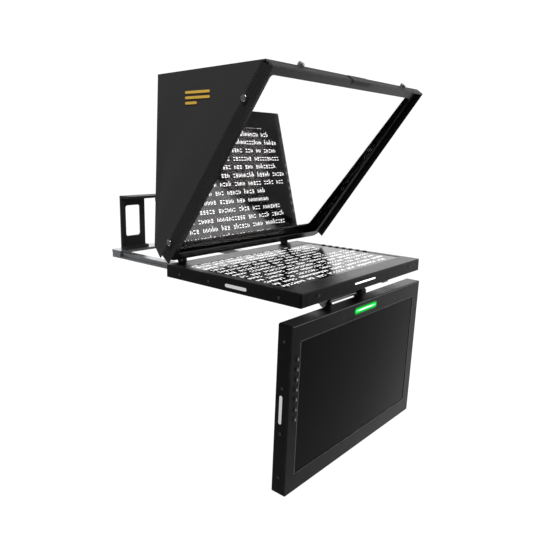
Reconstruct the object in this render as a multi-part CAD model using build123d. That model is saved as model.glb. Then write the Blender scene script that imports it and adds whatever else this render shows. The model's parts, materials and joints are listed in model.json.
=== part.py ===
"""Two-monitor teleprompter head, in millimetres.

Frame of the part: X to the right, Y backwards (the talent stands at -Y), Z up.
The origin is the middle of the underside of the base plate, where a pedestal or
tripod head is bolted on.
"""
from build123d import *
from math import cos, hypot, radians, sin, tan
import os

os.makedirs("parts", exist_ok=True)

# ---------------------------------------------------------------- base and rails
BASE_W, BASE_D, BASE_T = 256.0, 120.0, 12.0      # base plate, its underside is Z = 0
RAIL_W, RAIL_H = 24.0, 15.0                      # section of each rail
RAIL_PITCH = 232.0                               # between the middles of the rails
RAIL_FRONT, RAIL_REAR = -352.0, 288.0            # ends of the rails along Y
RAIL_GROOVE_W, RAIL_GROOVE_DEEP = 5.0, 4.0       # groove in each outer flank
BASE_BOLT_R, BASE_BOLT_HEAD_R, BASE_BOLT_HEAD_H = 3.0, 5.0, 5.0
BASE_BOLT_LENGTH = 20.0
CENTRE_HOLE_R = 7.94 / 2                         # 3/8-16 thread, tapping diameter
SIDE_HOLE_R, SIDE_HOLE_PITCH = 5.11 / 2, 60.0    # 1/4-20 threads, tapping diameter

# ---------------------------------------------------------------- prompter monitor
PROMPTER_W, PROMPTER_D, PROMPTER_T = 440.0, 345.0, 26.0
PROMPTER_REAR_Y = -33.0
PROMPTER_WINDOW_W, PROMPTER_WINDOW_D = 410.0, 255.0
PROMPTER_WINDOW_REAR_MARGIN = 48.0
PROMPTER_BUTTON_INSET = 8.0                      # from the right edge to the button middles
PROMPTER_BUTTON_FRONT, PROMPTER_BUTTON_PITCH = 136.0, 19.7
PROMPTER_LED_MID, PROMPTER_LED_DOWN = -13.5, 12.0

# ---------------------------------------------------------------- talent monitor
TALENT_W, TALENT_H, TALENT_T = 474.0, 319.5, 29.6
TALENT_TOP_FRONT = (-373.8, -0.9)                # Y and Z of the top edge of the front face
TALENT_LEAN = 1.4                                # degrees, the bottom edge set back
TALENT_WINDOW_W, TALENT_WINDOW_H = 419.0, 251.0
TALENT_WINDOW_TOP_MARGIN = 33.0
TALENT_BUTTON_INSET = 20.0
TALENT_BUTTON_TOP, TALENT_BUTTON_PITCH = 62.7, 18.75
TALENT_LED_MID, TALENT_LED_DOWN = 2.5, 16.0

# ---------------------------------------------------------------- both monitors
WALL = 2.0                                       # sheet of the cases and bezels
CASE_CORNER_R = 3.0
LCD_T, LCD_BORDER, SCREEN_RECESS = 8.0, 3.0, 0.6
WINDOW_GAP = 0.3                                 # between the screen and the bezel
BUTTON_L, BUTTON_W, BUTTON_PROUD, BUTTON_TRAVEL = 8.0, 5.0, 1.6, 0.8
BUTTON_GAP = 0.25                                # round each button cap
BUTTON_FLANGE, BUTTON_FLANGE_T = 1.0, 1.0
BUTTON_COUNT = 7
LED_L, LED_W = 73.0, 2.6
BOARD_L, BOARD_W, BOARD_T, BOARD_LIFT = 170.0, 90.0, 1.6, 4.0
SCREW_R, SCREW_HEAD_R, SCREW_HEAD_H, SCREW_LENGTH, SCREW_GAP = 1.3, 2.8, 1.0, 7.0, 0.2

# ---------------------------------------------------------------- leaning frame and glass
FRAME_ANGLE = 53.6                               # of the frame to the horizontal, in degrees
GLASS_ANGLE = 52.2                               # of the glass to the horizontal
FRAME_FOOT = 2.0                                 # frame line starts this far before the rear edge
FRAME_HALF_W = 256.0
FRAME_BOTTOM, FRAME_TOP = 36.0, 467.0            # outer edges, measured up the slope
FRAME_FRONT, FRAME_BACK = 22.0, -14.0            # front face and rear edge, square to the slope
FRAME_LIP_T, FRAME_WALL = 2.0, 3.0               # front lip and outer flange
FRAME_CORNER_R = 24.0
OPENING_BOTTOM, OPENING_TOP = FRAME_BOTTOM + 17, FRAME_TOP - 18
OPENING_HALF_W_BOTTOM, OPENING_HALF_W_TOP = 232.0, 238.0
FRAME_SPLIT = 30.0                               # side bars end this far from the outer edges
GLASS_T, GLASS_FORWARD, GLASS_SIDE_GAP = 4.0, 6.2, 3.0
GLASS_BOTTOM, GLASS_TOP = FRAME_BOTTOM + 8, FRAME_TOP - 10
CLIP_W, CLIP_T = 24.0, 2.0

# ---------------------------------------------------------------- fabric hood and its band
HOOD_T = 2.5
HOOD_SEAM = 8.0                                  # band meets side panel here, square to the slope
HOOD_TOP_SEAM = 15.0                             # band meets top panel here
BAND_EDGE = 32.0                                 # free front edge of the band
HOOD_BOTTOM, HOOD_TOP = FRAME_BOTTOM - 2, FRAME_TOP
BAND_RISE = 8.0                                  # the band ends this far above the panel
HOOD_REAR_TOP = (-66.0, 414.0)                   # Y and Z of the rear upper corner
HOOD_REAR_BOTTOM = (-45.5, 98.0)                 # Y and Z of the rear lower corner
LENS_HOLE_R, LENS_HEIGHT = 72.0, 250.0
TAB_W, TAB_T = 64.0, 1.6
THUMB_HEAD_R, THUMB_HEAD_H, THUMB_R, THUMB_LENGTH = 6.0, 7.0, 2.0, 6.0
THUMB_SIDE_UP = (FRAME_BOTTOM + 46, FRAME_TOP - 67)   # on each side
THUMB_TOP_X = 178.0
THUMB_LEVEL, THUMB_TOP_LEVEL = 15.0, 19.0        # square to the slope
THUMB_HOLE_GAP = 0.2

# ---------------------------------------------------------------- hinge of the frame
HINGE_Y, HINGE_Z = -24.0, 66.0
HINGE_X = 172.0                                  # middle of each hinge
HINGE_PIN_R, HINGE_FIT = 3.0, 0.06
HINGE_ARM_T, HINGE_EAR_T, HINGE_GAP = 8.0, 4.0, 0.4
HINGE_BOSS_R = 8.0
HINGE_KNOB_R, HINGE_KNOB_L = 10.0, 14.0

# ---------------------------------------------------------------- talent monitor bracket
PIVOT_Y, PIVOT_Z = -318.0, -6.0
PIVOT_R, PIVOT_FIT = 4.0, 0.06
BRACKET_HALF_W, BRACKET_T, BRACKET_D = 62.0, 4.0, 58.0
HANGER_EAR_T, HANGER_GAP = 4.0, 0.4
HANGER_BOSS_R = 9.0
HANGER_H = 70.0
TILT_KNOB_R, TILT_KNOB_L = 11.0, 16.0

# ---------------------------------------------------------------- camera carriage and riser
CARRIAGE_Y, CARRIAGE_D, CARRIAGE_T = 264.0, 44.0, 6.0
CARRIAGE_LIP_T, CARRIAGE_LIP_H, CARRIAGE_GAP = 5.0, 10.0, 0.4
RISER_LEG_Y = 276.0                              # middle of the legs, behind the camera screw
RISER_T, RISER_TOP_Z, RISER_TOP_D = 6.0, 166.0, 44.0
RISER_INNER_X, RISER_OUTER_X = 36.0, 108.0       # each leg lies between these
RISER_WINDOW_W, RISER_WINDOW_H, RISER_WINDOW_UP = 46.0, 78.0, 30.0
RISER_FOOT_D, RISER_WINDOW_R = 24.0, 6.0
CAMERA_SCREW_R, CAMERA_SCREW_UP = 3.175, 5.5     # 1/4-20 pin above the riser
CAMERA_COLLAR_R = 4.2                            # the screw's shoulder in the slot
CAMERA_SLOT_L, CAMERA_SLOT_GAP = 26.0, 0.35
CAMERA_KNOB_R, CAMERA_KNOB_H = 11.0, 12.0
CLAMP_X, CLAMP_KNOB_R, CLAMP_KNOB_H, CLAMP_STEM_R = 0.0, 9.0, 12.0, 3.0

# ---------------------------------------------------------------- sizes that follow
RAIL_X = RAIL_PITCH / 2
CAMERA_Y = RISER_LEG_Y + RISER_T / 2 - RISER_TOP_D / 2
RAIL_TOP = BASE_T + RAIL_H
PROMPTER_TOP = RAIL_TOP + PROMPTER_T
PROMPTER_FRONT_Y = PROMPTER_REAR_Y - PROMPTER_D
PROMPTER_MID_Y = PROMPTER_REAR_Y - PROMPTER_D / 2
FRAME_LINE_Y = PROMPTER_REAR_Y - FRAME_FOOT
TILT = radians(TALENT_LEAN)


def save(name, *shapes):
    """Write one node: one solid, or a group of identical solids."""
    shape = shapes[0] if len(shapes) == 1 else Compound(children=list(shapes))
    export_step(shape, f"parts/{name}.step")


def block(x0, x1, y0, y1, z0, z1):
    """A box from its lowest to its highest corner."""
    box = Box(x1 - x0, y1 - y0, z1 - z0)
    return Pos((x0 + x1) / 2, (y0 + y1) / 2, (z0 + z1) / 2) * box


def rod(radius, start, end):
    """A cylinder between two points."""
    start, end = Vector(start), Vector(end)
    axis = end - start
    return Plane(start, z_dir=axis) * extrude(Circle(radius), axis.length)


def plate_yz(points, x0, x1):
    """A flat plate with an outline in Y and Z, between two values of X."""
    outline = Polyline(*[(0, y, z) for y, z in points], close=True)
    return Pos(x0, 0, 0) * extrude(make_face(outline), x1 - x0, dir=(1, 0, 0))


def slope_plane(angle, set_back=0.0):
    """Local X along X, Y up the slope, Z square to it towards the talent."""
    a = radians(angle)
    y = FRAME_LINE_Y + set_back / sin(a)
    return Plane((0, y, PROMPTER_TOP), x_dir=(1, 0, 0), z_dir=(0, -sin(a), -cos(a)))


FRAME_PLANE = slope_plane(FRAME_ANGLE)
GLASS_PLANE = slope_plane(GLASS_ANGLE, -GLASS_FORWARD)


def frame_yz(up, out):
    """Y and Z of a point given up the frame's slope and square to it."""
    point = FRAME_PLANE.from_local_coords(Vector(0, up, out))
    return point.Y, point.Z


def knurled_knob(radius, height, lobes=12, groove=0.9):
    """A grip with rounded grooves down its side, from Z = 0 up."""
    grip = chamfer(Cylinder(radius, height).edges().filter_by(GeomType.CIRCLE), 0.8)
    cutters = [
        Rot(0, 0, 360 / lobes * i) * Pos(radius + groove * 0.35, 0, 0) * Cylinder(groove, height)
        for i in range(lobes)
    ]
    return Pos(0, 0, height / 2) * (grip - cutters)


# ================================================================ base and rails
def bolt_places():
    return [(sx * RAIL_X, sy * BASE_D / 3) for sx in (-1, 1) for sy in (-1, 1)]


def make_base():
    plate = block(-BASE_W / 2, BASE_W / 2, -BASE_D / 2, BASE_D / 2, 0, BASE_T)
    plate = fillet(plate.edges().filter_by(Axis.Z), 10)
    plate = chamfer(plate.faces().sort_by(Axis.Z)[0].edges(), 1)
    plate -= rod(CENTRE_HOLE_R, (0, 0, -1), (0, 0, BASE_T + 1))
    for sx in (-1, 1):
        x = sx * SIDE_HOLE_PITCH / 2
        plate -= rod(SIDE_HOLE_R, (x, 0, -1), (x, 0, BASE_T + 1))
    for x, y in bolt_places():
        plate -= rod(BASE_BOLT_R + SCREW_GAP, (x, y, -1), (x, y, BASE_T + 1))
        plate -= rod(BASE_BOLT_HEAD_R + SCREW_GAP, (x, y, -1), (x, y, BASE_BOLT_HEAD_H + 1))
    save("base_plate", plate)

    bolts = []
    for x, y in bolt_places():
        head = rod(BASE_BOLT_HEAD_R, (x, y, 1), (x, y, BASE_BOLT_HEAD_H + 1))
        head -= Pos(x, y, 1) * extrude(RegularPolygon(2.5, 6), 2.5)
        bolts.append(head + rod(BASE_BOLT_R, (x, y, 2), (x, y, BASE_BOLT_LENGTH)))
    save("base_bolts", *bolts)

    for name, side in (("rail_left", -1), ("rail_right", 1)):
        x = side * RAIL_X
        rail = block(x - RAIL_W / 2, x + RAIL_W / 2, RAIL_FRONT, RAIL_REAR, BASE_T, RAIL_TOP)
        rail = chamfer(rail.edges().filter_by(Axis.Y), 0.6)
        outer = x + side * RAIL_W / 2
        middle = BASE_T + RAIL_H / 2
        groove = Box(2 * RAIL_GROOVE_DEEP, RAIL_REAR - RAIL_FRONT + 2, RAIL_GROOVE_W)
        rail -= Pos(outer, (RAIL_FRONT + RAIL_REAR) / 2, middle) * groove
        for bx, by in bolt_places():
            if bx * side > 0:
                rail -= rod(BASE_BOLT_R + SCREW_GAP, (bx, by, 0), (bx, by, BASE_BOLT_LENGTH + 1))
        save(name, rail)


# ================================================================ monitors
class Monitor:
    """A flat monitor built screen up: X right, Y up the picture, Z out of the screen.

    The front face is Z = 0 and its middle is the origin. Each piece is then put in
    its place by one location.
    """

    def __init__(self, name, width, height, depth, window_w, window_h, window_y, place):
        self.name, self.w, self.h, self.t = name, width, height, depth
        self.ww, self.wh, self.wy = window_w, window_h, window_y
        self.place = place
        self.buttons, self.screws = [], []

    def put(self, piece_name, *shapes):
        save(f"{self.name}_{piece_name}", *[self.place * shape for shape in shapes])

    def outline(self, inset, z0, z1, radius):
        sketch = RectangleRounded(self.w - 2 * inset, self.h - 2 * inset, radius)
        return Pos(0, 0, z0) * extrude(sketch, z1 - z0)

    def make_case(self, led_slot, rear_slots, extra_cuts):
        case = self.outline(0, -self.t, -WALL, CASE_CORNER_R)
        case = chamfer(case.faces().sort_by(Axis.Z)[0].edges(), 0.6)
        case -= self.outline(WALL, -self.t + WALL, 0, CASE_CORNER_R - WALL + 0.5)
        for start, end in self.screws:
            way = (Vector(*end) - Vector(*start)).normalized()
            inside = Vector(*start) + way * SCREW_LENGTH
            case -= rod(SCREW_R + SCREW_GAP, start, inside)
        for cut in [led_slot, *rear_slots, *extra_cuts]:
            if cut is not None:
                case -= cut
        vents = [
            Pos(self.w * 0.22 + 9 * i, -self.h * 0.18, -self.t) * Box(3, self.h * 0.3, 3 * WALL)
            for i in range(6)
        ]
        vents += [
            Pos(-self.w * 0.22 - 9 * i, -self.h * 0.18, -self.t) * Box(3, self.h * 0.3, 3 * WALL)
            for i in range(6)
        ]
        self.put("case", case - vents)

    def make_bezel(self, led_slot):
        bezel = self.outline(0, -WALL, 0, CASE_CORNER_R)
        bezel = fillet(bezel.faces().sort_by(Axis.Z)[-1].edges(), 0.7)
        lip = self.outline(WALL + 0.2, -2 * WALL, -WALL, CASE_CORNER_R - WALL + 0.3)
        lip -= self.outline(WALL + 2.2, -3 * WALL, 0, 1.0)
        bezel += lip
        bezel -= Pos(0, self.wy, -WALL) * Box(self.ww, self.wh, 3 * WALL)
        hole = Box(BUTTON_W + 2 * BUTTON_GAP, BUTTON_L + 2 * BUTTON_GAP, 3 * WALL)
        for x, y in self.buttons:
            bezel -= Pos(x, y, -WALL) * hole
        if led_slot is not None:
            bezel -= led_slot
        self.put("bezel", bezel)

    def make_lcd(self):
        module = Box(self.ww + 2 * LCD_BORDER, self.wh + 2 * LCD_BORDER, LCD_T)
        module = Pos(0, self.wy, -WALL - LCD_T / 2) * module
        step = WALL - SCREEN_RECESS
        screen = Box(self.ww - 2 * WINDOW_GAP, self.wh - 2 * WINDOW_GAP, step)
        self.put("lcd_panel", module + Pos(0, self.wy, -WALL + step / 2) * screen)

    def make_board(self, y, sockets):
        """Driver board on four posts, with its sockets reaching out through the edge."""
        floor = -self.t + WALL
        low = floor + BOARD_LIFT
        board = Pos(0, y, low + BOARD_T / 2) * Box(BOARD_L, BOARD_W, BOARD_T)
        for sx in (-1, 1):
            for sy in (-1, 1):
                x, py = sx * (BOARD_L / 2 - 8), y + sy * (BOARD_W / 2 - 8)
                board += rod(3, (x, py, floor), (x, py, low + 0.5))
        for x, w, d in ((-50, 22, 22), (-8, 14, 30), (30, 18, 18), (62, 12, 24)):
            board += Pos(x, y - 6, low + BOARD_T + 1) * Box(w, d, 2.4)
        self.put("board", board + sockets)

    def make_buttons(self):
        for number, (x, y) in enumerate(self.buttons, 1):
            tall = BUTTON_PROUD + WALL
            cap = Pos(0, 0, BUTTON_PROUD - tall / 2) * Box(BUTTON_W, BUTTON_L, tall)
            cap = fillet(cap.faces().sort_by(Axis.Z)[-1].edges(), 0.6)
            flange = Box(BUTTON_W + 2 * BUTTON_FLANGE, BUTTON_L + 2 * BUTTON_FLANGE, BUTTON_FLANGE_T)
            cap += Pos(0, 0, -WALL - BUTTON_FLANGE_T / 2) * flange
            self.put(f"button_{number}", Pos(x, y, 0) * cap)

    def make_screws(self):
        screws = []
        for start, end in self.screws:
            way = (Vector(*end) - Vector(*start)).normalized()
            surface = Vector(*start) + way
            out = surface - way * SCREW_HEAD_H
            head = rod(SCREW_HEAD_R, out, surface)
            slot = Plane(out, z_dir=way) * extrude(RegularPolygon(1.3, 6), 0.6)
            shank = rod(SCREW_R, surface, surface + way * (SCREW_LENGTH - 2))
            screws.append(head - slot + shank)
        self.put("screws", *screws)


def socket_row(y_edge, z, side):
    """Video and power sockets in a row, reaching one wall thickness past an edge."""
    row = []
    for x, w, h in ((-66, 15, 5.5), (-40, 15, 5.5), (-8, 30, 11)):
        row.append(Pos(x, y_edge - side * 6, z + h / 2) * Box(w, 15, h))
    for x in (30, 50, 70):
        row.append(rod(5.5, (x, y_edge - side * 14, z + 5.5), (x, y_edge + side * 5, z + 5.5)))
    return row


def socket_cuts(y_edge, z):
    cuts = []
    for x, w, h in ((-66, 15, 5.5), (-40, 15, 5.5), (-8, 30, 11)):
        cuts.append(Pos(x, y_edge, z + h / 2) * Box(w + 1, 3 * WALL, h + 1))
    for x in (30, 50, 70):
        cuts.append(rod(6.0, (x, y_edge - 2 * WALL, z + 5.5), (x, y_edge + 2 * WALL, z + 5.5)))
    return cuts


def side_screw(x_edge, side, y, z):
    """Start just outside an edge and end inside it, for a screw along X."""
    return (x_edge + side, y, z), (x_edge - side, y, z)


def make_prompter():
    place = Location((0, PROMPTER_MID_Y, PROMPTER_TOP))
    half_w, half_d = PROMPTER_W / 2, PROMPTER_D / 2
    window_y = half_d - PROMPTER_WINDOW_REAR_MARGIN - PROMPTER_WINDOW_D / 2
    unit = Monitor("prompter", PROMPTER_W, PROMPTER_D, PROMPTER_T,
                   PROMPTER_WINDOW_W, PROMPTER_WINDOW_D, window_y, place)
    x = half_w - PROMPTER_BUTTON_INSET
    unit.buttons = [
        (x, -half_d + PROMPTER_BUTTON_FRONT + PROMPTER_BUTTON_PITCH * i) for i in range(BUTTON_COUNT)
    ]
    for side in (-1, 1):
        for from_front in (47.5, 221.0, 303.5):
            unit.screws.append(side_screw(side * half_w, side, -half_d + from_front, -15.0))
    for x in (-170.0, 170.0):
        unit.screws.append(((x, -half_d - 1, -12.0), (x, -half_d + 1, -12.0)))
    led = Pos(PROMPTER_LED_MID, -half_d, -PROMPTER_LED_DOWN)
    slot = led * Box(LED_L + 0.4, 4 * WALL, LED_W + 0.4)
    edge = half_d
    level = -PROMPTER_T + WALL + BOARD_LIFT + BOARD_T
    unit.make_case(slot, socket_cuts(edge, level), [])
    unit.make_bezel(None)
    unit.make_lcd()
    unit.make_board(half_d - WALL - 1 - BOARD_W / 2, socket_row(edge, level, 1))
    unit.make_buttons()
    unit.make_screws()
    light = led * Pos(0, 1.0, 0) * Box(LED_L, 4.0, LED_W)
    unit.put("led_bar", fillet(light.edges().filter_by(Axis.X), 0.4))


def talent_place():
    """The talent monitor: screen towards -Y, leaning about its top front edge."""
    lean = Location((0, TALENT_TOP_FRONT[0], TALENT_TOP_FRONT[1])) * Rot(TALENT_LEAN, 0, 0)
    return lean * Location((0, 0, -TALENT_H / 2)) * Rot(90, 0, 0)


def make_talent():
    half_w, half_h = TALENT_W / 2, TALENT_H / 2
    window_y = half_h - TALENT_WINDOW_TOP_MARGIN - TALENT_WINDOW_H / 2
    unit = Monitor("talent", TALENT_W, TALENT_H, TALENT_T,
                   TALENT_WINDOW_W, TALENT_WINDOW_H, window_y, talent_place())
    unit.buttons = [
        (-half_w + TALENT_BUTTON_INSET, half_h - TALENT_BUTTON_TOP - TALENT_BUTTON_PITCH * i)
        for i in range(BUTTON_COUNT)
    ]
    for side in (-1, 1):
        for down in (29.7, 114.8, 200.0, 286.0):
            unit.screws.append(side_screw(side * half_w, side, half_h - down, -TALENT_T / 2))
    led = Pos(TALENT_LED_MID, half_h - TALENT_LED_DOWN, 0)
    slot = led * Box(LED_L + 0.4, LED_W + 0.4, 6 * WALL)
    level = -TALENT_T + WALL + BOARD_LIFT + BOARD_T
    unit.make_case(None, socket_cuts(-half_h, level), [])
    unit.make_bezel(slot)
    unit.make_lcd()
    unit.make_board(-half_h + WALL + 1 + BOARD_W / 2, socket_row(-half_h, level, -1))
    unit.make_buttons()
    unit.make_screws()
    light = led * Pos(0, 0, -1.6) * Box(LED_L, LED_W, 4.0)
    unit.put("led_bar", fillet(light.edges().filter_by(Axis.X), 0.4))


# ================================================================ talent bracket
def make_talent_bracket():
    ear_in = BRACKET_HALF_W - BRACKET_T
    pivot = (PIVOT_Y, PIVOT_Z)
    top = RAIL_TOP
    plate = block(-BRACKET_HALF_W, BRACKET_HALF_W, PIVOT_Y - 22, PIVOT_Y + 36, top - BRACKET_T, top)
    bracket = fillet(plate.edges().filter_by(Axis.Z), 5)
    for side in (-1, 1):
        x0, x1 = sorted((side * ear_in, side * BRACKET_HALF_W))
        web = plate_yz([(PIVOT_Y - 16, top - 1), (PIVOT_Y + 30, top - 1),
                        (PIVOT_Y + 10, PIVOT_Z), (PIVOT_Y - 10, PIVOT_Z)], x0, x1)
        bracket += web + rod(HANGER_BOSS_R + 1, (x0, *pivot), (x1, *pivot))
    bracket -= rod(PIVOT_R, (-BRACKET_HALF_W - 1, *pivot), (BRACKET_HALF_W + 1, *pivot))
    save("talent_bracket", bracket)

    bolt = rod(PIVOT_R, (-BRACKET_HALF_W - 2, *pivot), (BRACKET_HALF_W + TILT_KNOB_L - 4, *pivot))
    head = Plane((-BRACKET_HALF_W - 7, *pivot), z_dir=(1, 0, 0)) * extrude(RegularPolygon(7.5, 6), 5.5)
    bolt += head - Plane((-BRACKET_HALF_W - 1.5, *pivot), z_dir=(1, 0, 0)) * extrude(Circle(12), 5)
    save("talent_pivot_bolt", bolt)

    seat = BRACKET_HALF_W + HANGER_GAP
    knob = Plane((seat, *pivot), z_dir=(1, 0, 0)) * knurled_knob(TILT_KNOB_R, TILT_KNOB_L, 8, 1.8)
    knob -= rod(PIVOT_R + PIVOT_FIT, (seat - 1, *pivot), (seat + TILT_KNOB_L - 3.5, *pivot))
    save("talent_tilt_knob", knob)

    # the hanger is bolted to the monitor's back and swings on the bolt
    back = Location((0, TALENT_TOP_FRONT[0], TALENT_TOP_FRONT[1])) * Rot(TALENT_LEAN, 0, 0)
    foot = back * block(-58, 58, TALENT_T, TALENT_T + 4, -HANGER_H - 14, -14)
    hanger = foot
    outer = ear_in - HANGER_GAP
    face_y = TALENT_TOP_FRONT[0] + TALENT_T
    for side in (-1, 1):
        x0, x1 = sorted((side * outer, side * (outer - HANGER_EAR_T)))
        web = plate_yz([(face_y + 2.5, -16), (PIVOT_Y - 3, PIVOT_Z + HANGER_BOSS_R - 1),
                        (PIVOT_Y + 6, PIVOT_Z - 6), (face_y + 4, -HANGER_H)], x0, x1)
        hanger += web + rod(HANGER_BOSS_R, (x0, *pivot), (x1, *pivot))
    hanger -= rod(PIVOT_R + PIVOT_FIT, (-outer - 1, *pivot), (outer + 1, *pivot))
    save("talent_hanger", hanger)


# ================================================================ leaning frame
def frame_outline(inset, z0, z1):
    w = 2 * (FRAME_HALF_W - inset)
    h = FRAME_TOP - FRAME_BOTTOM - 2 * inset
    sketch = Rectangle(w, h)
    sketch = fillet(sketch.vertices().group_by(Axis.Y)[0], FRAME_CORNER_R - inset)
    sketch = fillet(sketch.vertices().group_by(Axis.Y)[-1].sort_by(Axis.X)[0::1], 3)
    return Pos(0, (FRAME_TOP + FRAME_BOTTOM) / 2, z0) * extrude(sketch, z1 - z0)


def make_frame():
    frame = frame_outline(0, FRAME_BACK, FRAME_FRONT)
    frame -= frame_outline(FRAME_WALL, FRAME_BACK - 1, FRAME_FRONT - FRAME_LIP_T)
    opening = Polyline((-OPENING_HALF_W_BOTTOM, OPENING_BOTTOM), (OPENING_HALF_W_BOTTOM, OPENING_BOTTOM),
                       (OPENING_HALF_W_TOP, OPENING_TOP), (-OPENING_HALF_W_TOP, OPENING_TOP), close=True)
    opening = fillet(make_face(opening).vertices(), 6)
    frame -= Pos(0, 0, FRAME_BACK) * extrude(opening, FRAME_FRONT - FRAME_BACK + 1)
    for place, outward in thumb_places():
        start = place + outward
        end = place - outward * (FRAME_WALL + 1)
        frame -= rod(THUMB_R + THUMB_HOLE_GAP, start, end)
    low, high = FRAME_BOTTOM + FRAME_SPLIT, FRAME_TOP - FRAME_SPLIT
    far = FRAME_HALF_W + 5
    zones = {
        "frame_bottom": block(-far, far, FRAME_BOTTOM - 5, low, FRAME_BACK - 5, FRAME_FRONT + 5),
        "frame_top": block(-far, far, high, FRAME_TOP + 5, FRAME_BACK - 5, FRAME_FRONT + 5),
        "frame_left": block(-far, 0, low, high, FRAME_BACK - 5, FRAME_FRONT + 5),
        "frame_right": block(0, far, low, high, FRAME_BACK - 5, FRAME_FRONT + 5),
    }
    pieces = {name: FRAME_PLANE.location * (frame & zone) for name, zone in zones.items()}
    # the rear corner of the top bar is cut away so that the hood lies flat over it
    front, rear = hood_top_line()
    pieces["frame_top"] -= plate_yz([front, rear, (rear[0], rear[1] + 80), (front[0], front[1] + 80)],
                                    -far, far)
    pivot = (HINGE_Y, HINGE_Z)
    for side in (-1, 1):
        x0 = side * HINGE_X - HINGE_ARM_T / 2
        x1 = side * HINGE_X + HINGE_ARM_T / 2
        arm = plate_yz([frame_yz(FRAME_BOTTOM + 1, FRAME_FRONT - 4), frame_yz(FRAME_BOTTOM + 1, FRAME_BACK + 1),
                        (HINGE_Y + 5, HINGE_Z + 6), (HINGE_Y - 5, HINGE_Z - 6)], x0, x1)
        arm += rod(HINGE_BOSS_R, (x0, *pivot), (x1, *pivot))
        arm -= rod(HINGE_PIN_R + HINGE_FIT, (x0 - 1, *pivot), (x1 + 1, *pivot))
        pieces["frame_bottom"] += arm
    for name, piece in pieces.items():
        save(name, piece)


def make_glass():
    half_w = FRAME_HALF_W - FRAME_WALL - GLASS_SIDE_GAP
    pane = Rectangle(2 * half_w, GLASS_TOP - GLASS_BOTTOM)
    pane = fillet(pane.vertices().group_by(Axis.Y)[0], FRAME_CORNER_R)
    pane = Pos(0, (GLASS_TOP + GLASS_BOTTOM) / 2, -GLASS_T) * extrude(pane, GLASS_T)
    pane = GLASS_PLANE.location * pane
    save("beam_splitter", pane)

    clips = []
    for side in (-1, 1):
        for up in (130.0, 370.0):
            flange = FRAME_HALF_W - FRAME_WALL
            glass_back = up * tan(radians(FRAME_ANGLE - GLASS_ANGLE)) + GLASS_FORWARD - GLASS_T - 0.8
            x0, x1 = sorted((side * flange, side * (flange - 14)))
            tongue = block(x0, x1, up - CLIP_W / 2, up + CLIP_W / 2, glass_back - CLIP_T - 0.6, glass_back - 0.6)
            x0, x1 = sorted((side * flange, side * (flange - CLIP_T)))
            foot = block(x0, x1, up - CLIP_W / 2, up + CLIP_W / 2, FRAME_BACK + 1, glass_back - 0.6)
            clips.append(FRAME_PLANE.location * (tongue + foot))
    save("glass_clips", *clips)


# ================================================================ hood, band and thumb screws
def thumb_places():
    """Each screw's place on the frame's outer face and its outward direction, in the frame's plane."""
    places = []
    for side in (-1, 1):
        for up in THUMB_SIDE_UP:
            places.append((Vector(side * FRAME_HALF_W, up, THUMB_LEVEL), Vector(side, 0, 0)))
    for x in (-THUMB_TOP_X, THUMB_TOP_X):
        places.append((Vector(x, FRAME_TOP, THUMB_TOP_LEVEL), Vector(0, 1, 0)))
    return places


def hood_top_line():
    """Front and rear ends of the underside of the hood's top panel, as Y and Z."""
    return frame_yz(HOOD_TOP, HOOD_TOP_SEAM), HOOD_REAR_TOP


def seam_top():
    """How far up the slope the side seam meets the top panel."""
    front, rear = (FRAME_PLANE.to_local_coords(Vector(0, *point)) for point in hood_top_line())
    return front.Y + (rear.Y - front.Y) * (HOOD_TOP_SEAM - HOOD_SEAM) / (front.Z - rear.Z)


def make_hood():
    inner, outer = FRAME_HALF_W, FRAME_HALF_W + HOOD_T
    front_top = hood_top_line()[0]
    front_bottom = frame_yz(HOOD_BOTTOM, HOOD_SEAM)
    side_outline = [frame_yz(seam_top(), HOOD_SEAM), front_bottom, HOOD_REAR_BOTTOM, HOOD_REAR_TOP]
    save("hood_left", plate_yz(side_outline, -outer, -inner))
    save("hood_right", plate_yz(side_outline, inner, outer))

    rear = Vector(0, *HOOD_REAR_TOP)
    front = Vector(0, *front_top)
    up = (front - rear).cross(Vector(1, 0, 0)).normalized()
    if up.Z < 0:
        up = up * -1
    lifted = [front, rear, rear + up * HOOD_T, front + up * HOOD_T]
    save("hood_top", plate_yz([(p.Y, p.Z) for p in lifted], -outer, outer))

    y0, z0 = HOOD_REAR_BOTTOM
    y1, z1 = HOOD_REAR_TOP
    back = plate_yz([(y0, z0), (y1, z1), (y1 - HOOD_T, z1), (y0 - HOOD_T, z0)], -inner, inner)
    back -= rod(LENS_HOLE_R, (0, y0 - 60, LENS_HEIGHT), (0, y0 + 60, LENS_HEIGHT))
    save("hood_back", back)


def make_band():
    inner, outer = FRAME_HALF_W, FRAME_HALF_W + HOOD_T
    sides = {"band_left": (-outer, -inner), "band_right": (inner, outer)}
    holes = [rod(THUMB_R + THUMB_HOLE_GAP, at + out * 5, at - out * 5) for at, out in thumb_places()]
    bottom = HOOD_BOTTOM + BAND_RISE
    outline = [frame_yz(bottom, HOOD_SEAM), frame_yz(bottom, BAND_EDGE), frame_yz(HOOD_TOP, BAND_EDGE),
               frame_yz(HOOD_TOP, HOOD_TOP_SEAM), frame_yz(seam_top(), HOOD_SEAM)]
    for name, (x0, x1) in sides.items():
        save(name, plate_yz(outline, x0, x1) - [FRAME_PLANE.location * hole for hole in holes])
    strip = block(-outer, outer, HOOD_TOP, HOOD_TOP + HOOD_T, HOOD_TOP_SEAM, BAND_EDGE)
    save("band_top", FRAME_PLANE.location * (strip - holes))
    over = HOOD_TOP + HOOD_T
    tab = block(-TAB_W / 2, TAB_W / 2, over, over + TAB_T, HOOD_TOP_SEAM + 2, BAND_EDGE + TAB_T)
    tab += block(-TAB_W / 2, TAB_W / 2, over - 7, over, BAND_EDGE, BAND_EDGE + TAB_T)
    save("band_tab", FRAME_PLANE.location * tab)


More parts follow.
